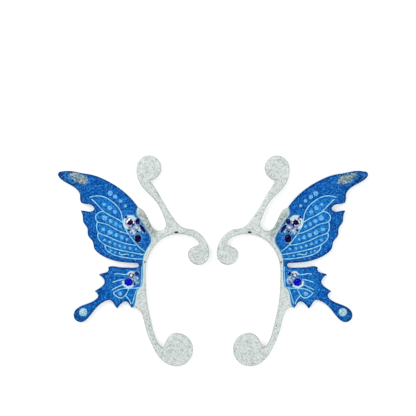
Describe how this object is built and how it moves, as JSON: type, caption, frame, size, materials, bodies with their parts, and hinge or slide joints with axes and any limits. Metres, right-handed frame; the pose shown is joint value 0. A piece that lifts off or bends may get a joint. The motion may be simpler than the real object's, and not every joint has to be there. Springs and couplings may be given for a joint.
{
  "type": "pair of ear wings",
  "caption": "Pair of flat cast-resin fairy ear wings: silver scroll hooks for the ears, each carrying a blue glitter forewing and hindwing with veins, dots and cut stones.",
  "frame": {"origin": "on the plane of the flat backs, midway between the wings and at half their height", "axes": "+X towards the right wing's tip, +Y from the lower curls to the antenna curls, +Z out of the decorated faces"},
  "size_m": [0.1732, 0.1174, 0.004],
  "materials": {
    "silver_resin": "silver-white fine glitter in clear resin",
    "dark_glitter": "dark glitter flake",
    "blue_resin": "blue fine glitter in clear resin",
    "vein_resin": "pale sky-blue resin line",
    "dot_resin": "pale blue resin",
    "pearl": "pearl gloss",
    "foil": "thin pale foil",
    "crystal_glass": "cut and foil-backed",
    "navy_glass": "cut and foil-backed",
    "lilac_glass": "cut",
    "royal_glass": "cut and foil-backed",
    "black_glass": "cut",
    "glue": "clear glue"
  },
  "bodies": {
    "left_wing": {"left_scroll_frame": "silver_resin", "left_frame_specks": "dark_glitter", "left_forewing_panel": "blue_resin", "left_hindwing_panel": "blue_resin", "left_forewing_veins": "vein_resin", "left_hindwing_veins": "vein_resin", "left_forewing_dots": "dot_resin", "left_hindwing_dot": "dot_resin", "left_tail_pearl": "pearl", "left_tip_flakes": "foil", "left_crystal_stone": "crystal_glass", "left_navy_oval_stone": "navy_glass", "left_navy_marquise_stone": "navy_glass", "left_midnight_stone": "navy_glass", "left_lilac_chip": "lilac_glass", "left_ice_chip": "crystal_glass", "left_royal_stone": "royal_glass", "left_clear_stone": "crystal_glass", "left_navy_chip": "navy_glass", "left_pale_chip": "lilac_glass", "left_dark_chips": "black_glass", "left_stone_glue": "glue"},
    "right_wing": {"right_scroll_frame": "silver_resin", "right_frame_specks": "dark_glitter", "right_forewing_panel": "blue_resin", "right_hindwing_panel": "blue_resin", "right_forewing_veins": "vein_resin", "right_hindwing_veins": "vein_resin", "right_forewing_dots": "dot_resin", "right_hindwing_dot": "dot_resin", "right_tail_pearl": "pearl", "right_tip_flakes": "foil", "right_crystal_stone": "crystal_glass", "right_navy_oval_stone": "navy_glass", "right_navy_marquise_stone": "navy_glass", "right_midnight_stone": "navy_glass", "right_lilac_chip": "lilac_glass", "right_ice_chip": "crystal_glass", "right_royal_stone": "royal_glass", "right_clear_stone": "crystal_glass", "right_navy_chip": "navy_glass", "right_pale_chip": "lilac_glass", "right_dark_chips": "black_glass", "right_stone_glue": "glue"}
  },
  "joints": [
    {"name": "right_wing_lift", "type": "slide", "parent": "left_wing", "child": "right_wing", "axis": [0, 0, 1], "range_m": [0, 0.05]}
  ]
}
